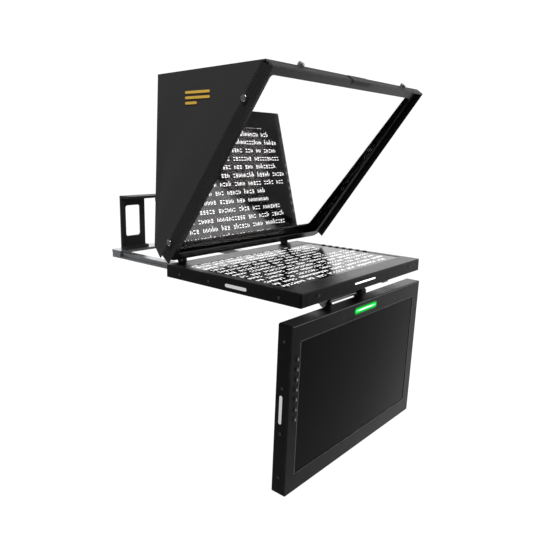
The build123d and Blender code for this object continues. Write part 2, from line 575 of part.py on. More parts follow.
def make_thumb_screws():
    screws = []
    for place, out in thumb_places():
        seat = place + out * HOOD_T
        head = Plane(seat, z_dir=out) * knurled_knob(THUMB_HEAD_R, THUMB_HEAD_H, 16, 0.7)
        tip = seat - out * THUMB_LENGTH
        screws.append(FRAME_PLANE.location * (head + rod(THUMB_R, seat, tip)))
    save("thumb_screws", *screws)


# ================================================================ hinges of the frame
def make_hinges():
    pivot = (HINGE_Y, HINGE_Z)
    gap = HINGE_ARM_T / 2 + HINGE_GAP
    pins = []
    for name, side in (("left", -1), ("right", 1)):
        mid = side * HINGE_X
        x0, x1 = mid - gap - HINGE_EAR_T, mid + gap + HINGE_EAR_T
        plate = block(x0, x1, PROMPTER_REAR_Y, PROMPTER_REAR_Y + 4, RAIL_TOP + 4, PROMPTER_TOP + 2)
        bracket = plate
        for e0, e1 in ((x0, x0 + HINGE_EAR_T), (x1 - HINGE_EAR_T, x1)):
            bracket += plate_yz([(PROMPTER_REAR_Y, RAIL_TOP + 8), (PROMPTER_REAR_Y, PROMPTER_TOP + 1),
                                 (HINGE_Y - 6, HINGE_Z + 2), (HINGE_Y + 8, HINGE_Z)], e0, e1)
            bracket += rod(HINGE_BOSS_R, (e0, *pivot), (e1, *pivot))
        bracket -= rod(HINGE_PIN_R, (x0 - 1, *pivot), (x1 + 1, *pivot))
        save(f"hinge_bracket_{name}", bracket)
        outer = mid + side * (gap + HINGE_EAR_T)
        inner = mid - side * (gap + HINGE_EAR_T)
        pin = rod(HINGE_PIN_R, (inner, *pivot), (outer + side * (HINGE_KNOB_L - 3), *pivot))
        pins.append(pin + rod(HINGE_PIN_R + 2.5, (inner, *pivot), (inner - side * 2.5, *pivot)))
        seat = outer + side * HINGE_GAP
        knob = Plane((seat, *pivot), z_dir=(side, 0, 0)) * knurled_knob(HINGE_KNOB_R, HINGE_KNOB_L, 10, 1.4)
        knob -= rod(HINGE_PIN_R + HINGE_FIT, (seat - side, *pivot), (seat + side * (HINGE_KNOB_L - 3), *pivot))
        save(f"hinge_knob_{name}", knob)
    save("hinge_pins", *pins)


# ================================================================ camera carriage and riser
def make_carriage():
    y0, y1 = CARRIAGE_Y - CARRIAGE_D / 2, CARRIAGE_Y + CARRIAGE_D / 2
    half = RAIL_X + RAIL_W / 2 + CARRIAGE_GAP + CARRIAGE_LIP_T
    top = RAIL_TOP + CARRIAGE_T
    plate = block(-half, half, y0, y1, RAIL_TOP, top)
    plate = fillet(plate.edges().filter_by(Axis.Z), 6)
    middle = BASE_T + RAIL_H / 2
    for side in (-1, 1):
        x0, x1 = sorted((side * half, side * (half - CARRIAGE_LIP_T)))
        plate += block(x0, x1, y0 + 6, y1 - 6, middle - RAIL_GROOVE_W / 2, RAIL_TOP + 1)
        reach = side * (half - CARRIAGE_LIP_T - CARRIAGE_GAP - RAIL_GROOVE_DEEP + 1)
        x0, x1 = sorted((side * (half - 1), reach))
        tongue = RAIL_GROOVE_W / 2 - CARRIAGE_GAP
        plate += block(x0, x1, y0 + 6, y1 - 6, middle - tongue, middle + tongue)
    plate -= rod(CLAMP_STEM_R + 0.4, (CLAMP_X, CARRIAGE_Y, 0), (CLAMP_X, CARRIAGE_Y, top + 1))
    save("camera_carriage", plate)

    foot_top = top + RISER_T
    leg_y0, leg_y1 = RISER_LEG_Y - RISER_T / 2, RISER_LEG_Y + RISER_T / 2
    riser = None
    for side in (-1, 1):
        x0, x1 = sorted((side * RISER_INNER_X, side * RISER_OUTER_X))
        mid = (x0 + x1) / 2
        leg = block(x0, x1, leg_y0, leg_y1, top, RISER_TOP_Z)
        window = Box(RISER_WINDOW_W, 3 * RISER_T, RISER_WINDOW_H)
        window = fillet(window.edges().filter_by(Axis.Y), RISER_WINDOW_R)
        leg -= Pos(mid, RISER_LEG_Y, top + RISER_WINDOW_UP + RISER_WINDOW_H / 2) * window
        foot = block(x0, x1, leg_y1 - RISER_FOOT_D, leg_y1, top, foot_top)
        leg += fillet(foot.edges().filter_by(Axis.Z).sort_by(Axis.Y)[:2], 6)
        riser = leg if riser is None else riser + leg
    deck = block(-RISER_OUTER_X, RISER_OUTER_X, leg_y1 - RISER_TOP_D, leg_y1,
                 RISER_TOP_Z - RISER_T, RISER_TOP_Z)
    deck = fillet(deck.edges().filter_by(Axis.Z).sort_by(Axis.Y)[:2], 8)
    riser += deck
    slot_w = 2 * (CAMERA_COLLAR_R + CAMERA_SLOT_GAP)
    slot = SlotOverall(CAMERA_SLOT_L, slot_w, rotation=90)
    riser -= Pos(0, CAMERA_Y, RISER_TOP_Z - RISER_T - 1) * extrude(slot, RISER_T + 2)
    save("camera_riser", riser)

    under = RISER_TOP_Z - RISER_T - 0.4
    grip = Pos(0, CAMERA_Y, under - CAMERA_KNOB_H) * knurled_knob(CAMERA_KNOB_R, CAMERA_KNOB_H, 12, 1.4)
    shoulder = RISER_TOP_Z - 0.3
    stem = rod(CAMERA_SCREW_R, (0, CAMERA_Y, shoulder), (0, CAMERA_Y, RISER_TOP_Z + CAMERA_SCREW_UP))
    stem = chamfer(stem.edges().filter_by(GeomType.CIRCLE).sort_by(Axis.Z)[-1], 0.8)
    stem += rod(CAMERA_COLLAR_R, (0, CAMERA_Y, under - 1), (0, CAMERA_Y, shoulder))
    save("camera_screw", grip + stem)

    seat = top + 0.4
    grip = Pos(CLAMP_X, CARRIAGE_Y, seat) * knurled_knob(CLAMP_KNOB_R, CLAMP_KNOB_H, 10, 1.4)
    stem = rod(CLAMP_STEM_R, (CLAMP_X, CARRIAGE_Y, RAIL_TOP - 4), (CLAMP_X, CARRIAGE_Y, seat + 1))
    stem += rod(CLAMP_STEM_R + 2, (CLAMP_X, CARRIAGE_Y, RAIL_TOP - 5), (CLAMP_X, CARRIAGE_Y, RAIL_TOP - 0.4))
    save("carriage_clamp_knob", grip + stem)


make_base()
make_prompter()
make_talent()
make_talent_bracket()
make_frame()
make_glass()
make_hood()
make_band()
make_thumb_screws()
make_hinges()
make_carriage()
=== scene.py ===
import json
import math
import random

import bpy
from mathutils import Matrix, Vector


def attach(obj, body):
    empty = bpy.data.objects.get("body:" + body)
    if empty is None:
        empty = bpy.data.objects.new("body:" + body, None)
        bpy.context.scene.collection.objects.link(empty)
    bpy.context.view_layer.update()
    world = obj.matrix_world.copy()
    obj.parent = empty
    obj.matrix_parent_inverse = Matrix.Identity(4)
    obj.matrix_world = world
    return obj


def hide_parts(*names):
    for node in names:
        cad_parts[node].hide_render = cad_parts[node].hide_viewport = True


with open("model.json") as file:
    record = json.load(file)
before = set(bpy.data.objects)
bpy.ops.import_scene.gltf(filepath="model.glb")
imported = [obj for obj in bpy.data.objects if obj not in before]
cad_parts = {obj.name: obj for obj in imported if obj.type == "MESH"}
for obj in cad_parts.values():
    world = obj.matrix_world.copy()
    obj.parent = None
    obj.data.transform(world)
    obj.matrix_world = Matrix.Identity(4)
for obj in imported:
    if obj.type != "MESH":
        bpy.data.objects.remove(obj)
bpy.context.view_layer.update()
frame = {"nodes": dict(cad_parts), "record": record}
nodes = frame["nodes"]
MM = 0.001

# ------------------------------------------------------------------ sizes shared with the CAD, in mm
PROMPTER_TOP, PROMPTER_MID_Y, PROMPTER_W, PROMPTER_D = 53.0, -205.5, 440.0, 345.0
FRAME_LINE_Y, FRAME_ANGLE = -35.0, math.radians(53.6)
FRAME_HALF_W, FRAME_TOP = 256.0, 467.0
HOOD_T, HOOD_SEAM, TOP_SEAM, HOOD_BOTTOM, BAND_RISE, BAND_EDGE = 2.5, 8.0, 15.0, 34.0, 8.0, 32.0
HOOD_REAR_TOP, HOOD_REAR_BOTTOM = (-66.0, 414.0), (-45.5, 98.0)
LENS_R, LENS_Z = 72.0, 250.0
BUTTONS = 7
PROMPTER_BUTTON_X, PROMPTER_BUTTON_START, PROMPTER_BUTTON_PITCH = 212.0, 136.0, 19.7
TALENT_W, TALENT_LEAN, TALENT_TOP_FRONT = 474.0, math.radians(1.4), Vector((0, -373.8, -0.9))
TALENT_WINDOW_W, TALENT_WINDOW_H, TALENT_WINDOW_MARGIN = 419.0, 251.0, 33.0
TALENT_BUTTON_X, TALENT_BUTTON_TOP, TALENT_BUTTON_PITCH = -217.0, 62.7, 18.75
TALENT_LED_MID, TALENT_LED_DOWN = 2.5, 16.0
BUTTON_PROUD = 1.6                                # a button's cap above the bezel

# directions in the part's frame, and down and out from the leaning talent monitor's front
ACROSS, REAR, UP, LEFT = Vector((1, 0, 0)), Vector((0, 1, 0)), Vector((0, 0, 1)), Vector((-1, 0, 0))
TALENT_DOWN = Vector((0, math.sin(TALENT_LEAN), -math.cos(TALENT_LEAN)))
TALENT_OUT = Vector((0, -math.cos(TALENT_LEAN), -math.sin(TALENT_LEAN)))


def frame_point(x, up, out):
    """A point in the leaning frame's plane: up the slope, and out towards the talent."""
    s, c = math.sin(FRAME_ANGLE), math.cos(FRAME_ANGLE)
    return Vector((x, FRAME_LINE_Y - c * up - s * out, PROMPTER_TOP + s * up - c * out)) * MM


def talent_point(x, down, proud):
    """A point in mm on the talent monitor's front: across, down from its top edge, and above its face."""
    return TALENT_TOP_FRONT + Vector((x, 0, 0)) + TALENT_DOWN * down + TALENT_OUT * proud


# ------------------------------------------------------------------ materials
def tree(name):
    """A new material, its node tree and its shader."""
    m = bpy.data.materials.new(name)
    m.use_nodes = True
    t = m.node_tree
    return m, t, t.nodes["Principled BSDF"]


def add(t, kind, **settings):
    """A new node, with input values or node settings by name."""
    n = t.nodes.new(kind)
    for key, value in settings.items():
        if key in n.inputs:
            n.inputs[key].default_value = value
        else:
            setattr(n, key, value)
    return n


def span(node, **ends):
    """Set the ends of a Map Range node: From_Min, From_Max, To_Min and To_Max."""
    for key, value in ends.items():
        node.inputs[key.replace("_", " ")].default_value = value


def grain(t, bsdf, scale, bump, colour, spread, rough, rough_spread):
    """Fine noise that moves the colour, the roughness and the surface a little."""
    co = add(t, "ShaderNodeTexCoord")
    fine = add(t, "ShaderNodeTexNoise", Scale=scale, Detail=6.0)
    wide = add(t, "ShaderNodeTexNoise", Scale=scale * 0.02, Detail=3.0)
    t.links.new(co.outputs["Object"], fine.inputs["Vector"])
    t.links.new(co.outputs["Object"], wide.inputs["Vector"])
    ramp = add(t, "ShaderNodeMix", data_type="RGBA")
    low = [max(0.0, c * (1 - spread)) for c in colour]
    high = [min(1.0, c * (1 + spread)) for c in colour]
    ramp.inputs[6].default_value = (*low, 1)
    ramp.inputs[7].default_value = (*high, 1)
    t.links.new(wide.outputs["Fac"], ramp.inputs[0])
    t.links.new(ramp.outputs[2], bsdf.inputs["Base Color"])
    r = add(t, "ShaderNodeMapRange")
    span(r, To_Min=rough - rough_spread, To_Max=rough + rough_spread)
    t.links.new(wide.outputs["Fac"], r.inputs["Value"])
    t.links.new(r.outputs["Result"], bsdf.inputs["Roughness"])
    b = add(t, "ShaderNodeBump", Strength=bump, Distance=0.0004)
    t.links.new(fine.outputs["Fac"], b.inputs["Height"])
    edge = add(t, "ShaderNodeBevel", samples=4, Radius=0.0007)
    t.links.new(edge.outputs["Normal"], b.inputs["Normal"])
    t.links.new(b.outputs["Normal"], bsdf.inputs["Normal"])


def coated(name, colour, rough=0.5, bump=0.25, scale=2600.0, spec=0.35, spread=0.15, metal=0.0):
    """Paint, plastic or thread with a fine grain."""
    m, t, b = tree(name)
    grain(t, b, scale, bump, colour, spread, rough, 0.06)
    b.inputs["Specular IOR Level"].default_value = spec
    b.inputs["Metallic"].default_value = metal
    return m


def brushed(name, colour, rough, along=(60.0, 1.2, 60.0)):
    """Metal with long scratches along one axis."""
    m, t, b = tree(name)
    co = add(t, "ShaderNodeTexCoord")
    mp = add(t, "ShaderNodeMapping")
    mp.inputs["Scale"].default_value = along
    n = add(t, "ShaderNodeTexNoise", Scale=30.0, Detail=8.0)
    t.links.new(co.outputs["Object"], mp.inputs["Vector"])
    t.links.new(mp.outputs["Vector"], n.inputs["Vector"])
    r = add(t, "ShaderNodeMapRange")
    span(r, To_Min=rough - 0.08, To_Max=rough + 0.12)
    t.links.new(n.outputs["Fac"], r.inputs["Value"])
    t.links.new(r.outputs["Result"], b.inputs["Roughness"])
    bp = add(t, "ShaderNodeBump", Strength=0.15, Distance=0.0002)
    edge = add(t, "ShaderNodeBevel", samples=4, Radius=0.0004)
    t.links.new(n.outputs["Fac"], bp.inputs["Height"])
    t.links.new(edge.outputs["Normal"], bp.inputs["Normal"])
    t.links.new(bp.outputs["Normal"], b.inputs["Normal"])
    b.inputs["Base Color"].default_value = (*colour, 1)
    b.inputs["Metallic"].default_value = 1.0
    return m


def woven(name, dark, light, pitch, slant, rough=0.85, sheen=0.3, bump=0.6):
    """Cloth from two crossed sets of threads, turned by the slant. UVs are in metres."""
    m, t, b = tree(name)
    uv = add(t, "ShaderNodeTexCoord")
    mp = add(t, "ShaderNodeMapping")
    mp.inputs["Rotation"].default_value = (0, 0, slant)
    t.links.new(uv.outputs["UV"], mp.inputs["Vector"])
    waves = []
    for direction in ("X", "Y"):
        w = add(t, "ShaderNodeTexWave", bands_direction=direction, Scale=0.314 / pitch, Distortion=0.4)
        w.inputs["Detail"].default_value = 1.0
        t.links.new(mp.outputs["Vector"], w.inputs["Vector"])
        waves.append(w)
    mul = add(t, "ShaderNodeMath", operation="MULTIPLY")
    t.links.new(waves[0].outputs["Fac"], mul.inputs[0])
    t.links.new(waves[1].outputs["Fac"], mul.inputs[1])
    wide = add(t, "ShaderNodeTexNoise", Scale=14.0, Detail=4.0)
    t.links.new(uv.outputs["UV"], wide.inputs["Vector"])
    blend = add(t, "ShaderNodeMath", operation="MULTIPLY_ADD")
    t.links.new(wide.outputs["Fac"], blend.inputs[0])
    blend.inputs[1].default_value = 0.45
    t.links.new(mul.outputs[0], blend.inputs[2])
    mix = add(t, "ShaderNodeMix", data_type="RGBA")
    mix.inputs[6].default_value = (*dark, 1)
    mix.inputs[7].default_value = (*light, 1)
    t.links.new(blend.outputs[0], mix.inputs[0])
    t.links.new(mix.outputs[2], b.inputs["Base Color"])
    nap = add(t, "ShaderNodeTexNoise", Scale=420.0, Detail=5.0)
    t.links.new(uv.outputs["UV"], nap.inputs["Vector"])
    bp = add(t, "ShaderNodeBump", Strength=bump, Distance=0.0005)
    t.links.new(nap.outputs["Fac"], bp.inputs["Height"])
    t.links.new(bp.outputs["Normal"], b.inputs["Normal"])
    b.inputs["Roughness"].default_value = rough
    b.inputs["Specular IOR Level"].default_value = 0.2
    b.inputs["Sheen Weight"].default_value = sheen
    b.inputs["Sheen Roughness"].default_value = 0.5
    return m


def glowing(name, colour, strength, edge_colour, fall):
    """A lit diffuser: a hot core that falls off over a share of its length at each end."""
    m, t, b = tree(name)
    co = add(t, "ShaderNodeTexCoord")
    sep = add(t, "ShaderNodeSeparateXYZ")
    t.links.new(co.outputs["Generated"], sep.inputs[0])
    r = add(t, "ShaderNodeMapRange", interpolation_type="SMOOTHSTEP")
    span(r, From_Max=fall)
    away = add(t, "ShaderNodeMath", operation="PINGPONG")
    away.inputs[1].default_value = 0.5
    t.links.new(sep.outputs["X"], away.inputs[0])
    t.links.new(away.outputs[0], r.inputs["Value"])
    mix = add(t, "ShaderNodeMix", data_type="RGBA")
    mix.inputs[6].default_value = (*edge_colour, 1)
    mix.inputs[7].default_value = (*colour, 1)
    t.links.new(r.outputs["Result"], mix.inputs[0])
    t.links.new(mix.outputs[2], b.inputs["Emission Color"])
    b.inputs["Emission Strength"].default_value = strength
    b.inputs["Base Color"].default_value = (*edge_colour, 1)
    b.inputs["Roughness"].default_value = 0.3
    return m


def screen(name, colour, rough, ior):
    """A dark screen behind smooth plastic."""
    m, t, b = tree(name)
    co = add(t, "ShaderNodeTexCoord")
    n = add(t, "ShaderNodeTexNoise", Scale=900.0, Detail=2.0)
    t.links.new(co.outputs["Object"], n.inputs["Vector"])
    r = add(t, "ShaderNodeMapRange")
    span(r, To_Min=rough * 0.85, To_Max=rough * 1.15)
    t.links.new(n.outputs["Fac"], r.inputs["Value"])
    t.links.new(r.outputs["Result"], b.inputs["Roughness"])
    b.inputs["Base Color"].default_value = (*colour, 1)
    b.inputs["IOR"].default_value = ior
    return m


def half_mirror(name):
    """A beam splitter: part of the light is mirrored, the rest goes through, with faint smears."""
    m, t, b = tree(name)
    out = t.nodes["Material Output"]
    t.nodes.remove(b)
    gl = add(t, "ShaderNodeBsdfGlossy", Color=(0.97, 0.965, 0.965, 1))
    co = add(t, "ShaderNodeTexCoord")
    n = add(t, "ShaderNodeTexNoise", Scale=5.0, Detail=5.0)
    t.links.new(co.outputs["Object"], n.inputs["Vector"])
    r = add(t, "ShaderNodeMapRange")
    span(r, To_Max=0.012)
    t.links.new(n.outputs["Fac"], r.inputs["Value"])
    t.links.new(r.outputs["Result"], gl.inputs["Roughness"])
    tr = add(t, "ShaderNodeBsdfTransparent", Color=(0.96, 0.93, 0.93, 1))
    mix = add(t, "ShaderNodeMixShader")
    mix.inputs[0].default_value = 0.86
    t.links.new(tr.outputs[0], mix.inputs[1])
    t.links.new(gl.outputs[0], mix.inputs[2])
    t.links.new(mix.outputs[0], out.inputs["Surface"])
    return m


def halo():
    """A green bloom that fades away from a lit bar. UVs are in tenths of a metre from the bar's middle."""
    core, fade_over = 0.35, 0.088
    m, t, b = tree("green_bloom")
    t.nodes.remove(b)
    co = add(t, "ShaderNodeTexCoord")
    sides = add(t, "ShaderNodeSeparateXYZ")
    t.links.new(co.outputs["UV"], sides.inputs[0])
    beyond = add(t, "ShaderNodeMath", operation="ABSOLUTE")
    t.links.new(sides.outputs["X"], beyond.inputs[0])
    past = add(t, "ShaderNodeMath", operation="SUBTRACT", use_clamp=True)
    past.inputs[1].default_value = core
    t.links.new(beyond.outputs[0], past.inputs[0])
    offset = add(t, "ShaderNodeCombineXYZ")
    t.links.new(past.outputs[0], offset.inputs["X"])
    t.links.new(sides.outputs["Y"], offset.inputs["Y"])
    away = add(t, "ShaderNodeVectorMath", operation="LENGTH")
    t.links.new(offset.outputs[0], away.inputs[0])
    fade = add(t, "ShaderNodeMapRange", interpolation_type="SMOOTHSTEP")
    span(fade, From_Min=0.0, From_Max=fade_over, To_Min=0.9, To_Max=0.0)
    t.links.new(away.outputs["Value"], fade.inputs["Value"])
    clear = add(t, "ShaderNodeBsdfTransparent")
    glow = add(t, "ShaderNodeEmission", Color=(0.02, 0.95, 0.1, 1), Strength=1.3)
    blend = add(t, "ShaderNodeMixShader")
    t.links.new(fade.outputs["Result"], blend.inputs[0])
    t.links.new(clear.outputs[0], blend.inputs[1])
    t.links.new(glow.outputs[0], blend.inputs[2])
    t.links.new(blend.outputs[0], t.nodes["Material Output"].inputs["Surface"])
    return m


def light_up(material, colour, strength):
    """Give a material an even glow of its own."""
    b = material.node_tree.nodes["Principled BSDF"]
    b.inputs["Emission Color"].default_value = (*colour, 1)
    b.inputs["Emission Strength"].default_value = strength
    return b


LOOKS = {
    "base_paint": coated("base_paint", (0.03, 0.03, 0.032)),
    "steel": brushed("steel", (0.55, 0.55, 0.56), 0.35),
    "rail_aluminium": brushed("rail_aluminium", (0.72, 0.73, 0.75), 0.3, (40.0, 0.6, 40.0)),
    "monitor_black": coated("monitor_black", (0.005, 0.005, 0.0055), 0.3, 0.16, 3000.0, 0.5),
    "prompter_screen": screen("prompter_screen", (0.003, 0.003, 0.0035), 0.12, 1.9),
    "talent_screen": screen("talent_screen", (0.003, 0.003, 0.0035), 0.2, 1.5),
    "circuit_board": coated("circuit_board", (0.02, 0.12, 0.05), 0.4),
    "white_light": glowing("white_light", (1, 1, 1), 2.0, (0.8, 0.85, 0.9), 0.2),
    "green_light": glowing("green_light", (0.6, 1.0, 0.68), 2.8, (0.02, 0.85, 0.12), 0.3),
    "screw_black": coated("screw_black", (0.16, 0.16, 0.16), 0.35, 0.1, 1500.0, 0.6, 0.1, 0.8),
    "frame_black": coated("frame_black", (0.006, 0.006, 0.006), 0.34, 0.12, 2200.0, 0.4),
    "bracket_black": coated("bracket_black", (0.014, 0.014, 0.014), 0.45),
    "knob_black": coated("knob_black", (0.018, 0.018, 0.018), 0.5, 0.3, 1600.0),
    "beam_splitter_glass": half_mirror("beam_splitter_glass"),
    "hook_tape": woven("hook_tape", (0.012, 0.012, 0.013), (0.05, 0.05, 0.052), 0.0012, 0.0, 0.95, 0.6, 1.0),
    "nickel": brushed("nickel", (0.75, 0.75, 0.74), 0.18),
    # the black button caps are given a lighter grey, a painted highlight for the light their domed caps catch
    "button_plastic": coated("button_plastic", (0.12, 0.12, 0.12), 0.4, 0.1, 1200.0, 0.5),
    "carriage_paint": coated("carriage_paint", (0.05, 0.05, 0.052), 0.42),
}
HOOD_CLOTH = woven("hood_fabric", (0.066, 0.066, 0.068), (0.072, 0.072, 0.075), 0.0013, 0.3)
WEBBING = woven("webbing", (0.008, 0.008, 0.009), (0.07, 0.07, 0.074), 0.0042, math.radians(38), 0.7, 0.1)
# the top band is the same webbing as the side bands, painted lighter: painted light for the light falling on
# its top and catching its upper edge
TOP_WEBBING_PAINTED_LIGHTER = woven("top_webbing_painted_lighter", (0.03, 0.03, 0.032), (0.2, 0.2, 0.205), 0.0042, math.radians(38), 0.6, 0.3)
THREAD = coated("thread", (0.16, 0.16, 0.165), 0.7, 0.4, 1800.0)
# gold for the printed marks on the hood
GOLD_PRINT_PAINTED_GLOW = coated("gold_print_painted_glow", (0.8, 0.5, 0.08), 0.45, 0.1)
# white for the printed marks on the monitors' sides, and for painted highlights on the button caps
WHITE_PRINT_AND_PAINTED_GLINT = coated("white_print_and_painted_glint", (0.9, 0.9, 0.9), 0.5, 0.1)
# painted highlight: a light grey for thin lines that stand in for the light caught by the talent monitor's
# edges
EDGE_HIGHLIGHT_PAINT = coated("painted_edge_highlight", (0.6, 0.6, 0.6), 0.3, 0.1, 2500.0, 0.5)
DISPLAY = tree("display_marks")[0]
# the gold and white marks get a faint glow of their own, a painted brightness, since they are no lamps
light_up(GOLD_PRINT_PAINTED_GLOW, (0.8, 0.5, 0.08), 0.35)
light_up(WHITE_PRINT_AND_PAINTED_GLINT, (1, 1, 1), 0.35)
light_up(DISPLAY, (1, 1, 1), 2.2).inputs["Base Color"].default_value = (0.8, 0.8, 0.8, 1)

slot_of = {s["node"]: s["material_slot"] for s in frame["record"]["subparts"]}
for name, obj in nodes.items():
    look = LOOKS.get(slot_of[name])
    if look:
        obj.data.materials.clear()
        obj.data.materials.append(look)


# ------------------------------------------------------------------ meshes
def mesh_object(name, verts, faces, material, uvs=None, smooth=True):
    """A new object with one material, smooth below 40 degrees or flat."""
    mesh = bpy.data.meshes.new(name)
    mesh.from_pydata([tuple(v) for v in verts], [], faces)
    if uvs:
        layer = mesh.uv_layers.new(name="UVMap")
        for loop in mesh.loops:
            layer.data[loop.index].uv = uvs[loop.vertex_index]
    mesh.validate()
    mesh.update()
    if smooth:
        mesh.polygons.foreach_set("use_smooth", [True] * len(mesh.polygons))
        mesh.set_sharp_from_angle(angle=math.radians(40))
    mesh.materials.append(material)
    obj = bpy.data.objects.new(name, mesh)
    bpy.context.scene.collection.objects.link(obj)
    return obj


def seam_top():
    """How far up the slope the side seam meets the top panel."""
    s, c = math.sin(FRAME_ANGLE), math.cos(FRAME_ANGLE)
    dy, dz = HOOD_REAR_TOP[0] - FRAME_LINE_Y, HOOD_REAR_TOP[1] - PROMPTER_TOP
    up, out = -c * dy + s * dz, -s * dy - c * dz
    return FRAME_TOP + (up - FRAME_TOP) * (TOP_SEAM - HOOD_SEAM) / (TOP_SEAM - out)


def sheet_mesh(name, corners, thick, outward, material, steps, wave=0.0, seed=0, skip=None):
    """A cloth panel over four corners, with soft waves held flat at its edges."""
    nu, nv = steps
    a, b, c, d = corners
    width, height = (b - a).length, (d - a).length
    rng = random.Random(seed)
    modes = [(rng.uniform(0.8, 2.6), rng.uniform(0.8, 2.6), rng.uniform(0, 6.3)) for _ in range(5)]
    verts, uvs, faces = [], [], []
    for side in (0, 1):
        for j in range(nv + 1):
            v = j / nv
            for i in range(nu + 1):
                u = i / nu
                p = (a * (1 - u) + b * u) * (1 - v) + (d * (1 - u) + c * u) * v
                calm = min(1, 6 * u) * min(1, 6 * (1 - u)) * min(1, 6 * v) * min(1, 6 * (1 - v))
                lift = sum(math.sin(mu * u * 3.1 + mv * v * 3.1 + ph) for mu, mv, ph in modes) / 5
                verts.append(p + outward * (thick * side + wave * calm * lift))
                uvs.append((u * width, v * height))
    row, sheet = nu + 1, (nu + 1) * (nv + 1)
    kept = set()
    for j in range(nv):
        for i in range(nu):
            if skip and skip((i + 0.5) / nu, (j + 0.5) / nv):
                continue
            kept.add((i, j))
            q = [j * row + i, j * row + i + 1, (j + 1) * row + i + 1, (j + 1) * row + i]
            faces.append(q[::-1])
            faces.append([k + sheet for k in q])
    for i, j in kept:
        q = {"d": (j * row + i, j * row + i + 1), "u": ((j + 1) * row + i + 1, (j + 1) * row + i),
             "l": ((j + 1) * row + i, j * row + i), "r": (j * row + i + 1, (j + 1) * row + i + 1)}
        for key, near in (("d", (i, j - 1)), ("u", (i, j + 1)), ("l", (i - 1, j)), ("r", (i + 1, j))):
            if near not in kept:
                p, s = q[key]
                faces.append([p, s, s + sheet, p + sheet])
    return mesh_object(name, verts, faces, material, uvs)


def yz(x, point):
    """A place in metres from X and a (Y, Z) pair in mm."""
    return Vector((x, point[0], point[1])) * MM


def cut_size(corners):
    """The flat rectangle a four-cornered panel is cut from, and the panel's own area."""
    a, b, c, d = corners
    along = (b - c).normalized()
    across = (a - b) - along * (a - b).dot(along)
    across.normalize()
    xs = [(p - d).dot(along) for p in corners]
    ys = [(p - d).dot(across) for p in corners]
    area = ((b - a).cross(d - a).length + (b - c).cross(d - c).length) / 2
    return (max(xs) - min(xs), max(ys) - min(ys)), area


def cloth(name, node, corners, outward, material, steps, wave, seed, skip=None):
    """A stretched sheet that takes a CAD panel's place and leans with the glass."""
    obj = sheet_mesh(name, corners, HOOD_T * MM, outward, material, steps, wave * MM, seed, skip)
    flat, area = cut_size(corners)
    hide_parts(node)
    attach(obj, "glass_head")


# ------------------------------------------------------------------ hood and band
for sign, side in ((-1, "left"), (1, "right")):
    x = sign * FRAME_HALF_W
    corners = [frame_point(x, HOOD_BOTTOM, HOOD_SEAM), yz(x, HOOD_REAR_BOTTOM), yz(x, HOOD_REAR_TOP),
               frame_point(x, seam_top(), HOOD_SEAM)]
    cloth(f"hood_{side}_cloth", f"hood_{side}", corners, Vector((sign, 0, 0)), HOOD_CLOTH,
          (40, 40), 1.2, 3 + sign)
    band_low = HOOD_BOTTOM + BAND_RISE
    corners = [frame_point(x, band_low, HOOD_SEAM), frame_point(x, band_low, BAND_EDGE),
               frame_point(x, FRAME_TOP, BAND_EDGE), frame_point(x, seam_top(), HOOD_SEAM)]
    cloth(f"band_{side}_tape", f"band_{side}", corners, Vector((sign, 0, 0)), WEBBING,
          (4, 60), 0.0, 5)

out = HOOD_T + FRAME_HALF_W
front = frame_point(0, FRAME_TOP, TOP_SEAM)
lift = ACROSS.cross(front - yz(0, HOOD_REAR_TOP)).normalized()
lift = lift if lift.z > 0 else -lift
corners = [frame_point(-out, FRAME_TOP, TOP_SEAM), frame_point(out, FRAME_TOP, TOP_SEAM),
           yz(out, HOOD_REAR_TOP), yz(-out, HOOD_REAR_TOP)]
cloth("hood_top_cloth", "hood_top", corners, lift, HOOD_CLOTH, (50, 26), 1.2, 9)

slope = Vector((0, math.cos(FRAME_ANGLE), -math.sin(FRAME_ANGLE)))
corners = [frame_point(-out, FRAME_TOP, TOP_SEAM), frame_point(out, FRAME_TOP, TOP_SEAM),
           frame_point(out, FRAME_TOP, BAND_EDGE), frame_point(-out, FRAME_TOP, BAND_EDGE)]
cloth("band_top_tape", "band_top", corners, -slope, TOP_WEBBING_PAINTED_LIGHTER, (90, 4), 0.0, 5)


def lens_hole(u, v):
    """Whether a place on the back panel lies in the lens opening."""
    x = (u - 0.5) * 2 * FRAME_HALF_W
    z = HOOD_REAR_BOTTOM[1] + v * (HOOD_REAR_TOP[1] - HOOD_REAR_BOTTOM[1])
    return math.hypot(x, z - LENS_Z) < LENS_R


corners = [yz(-FRAME_HALF_W, HOOD_REAR_BOTTOM), yz(FRAME_HALF_W, HOOD_REAR_BOTTOM),
           yz(FRAME_HALF_W, HOOD_REAR_TOP), yz(-FRAME_HALF_W, HOOD_REAR_TOP)]
normal = (corners[3] - corners[0]).cross(corners[1] - corners[0]).normalized()
normal = normal if normal.y < 0 else -normal
cloth("hood_back_cloth", "hood_back", corners, normal, HOOD_CLOTH, (128, 80), 0.0, 12,
      lens_hole)


# ------------------------------------------------------------------ the prompter's display
ROWS, ROW_PITCH, FIRST_ROW = 14, 19.8, 43.0       # rows, and the first one's distance from the case's front
ROW_LEFT, ROW_RIGHT, ROW_LOSSES = -197.0, 199.0, (0, 8, 14, 30, 75)
CELL, CELL_FILL, STROKE, TALL = 9.4, 0.62, 1.3, 8.6
GROUPS = (2, 3, 3, 4, 4, 5, 6, 7, 8, 10)          # cells in a group, before a gap


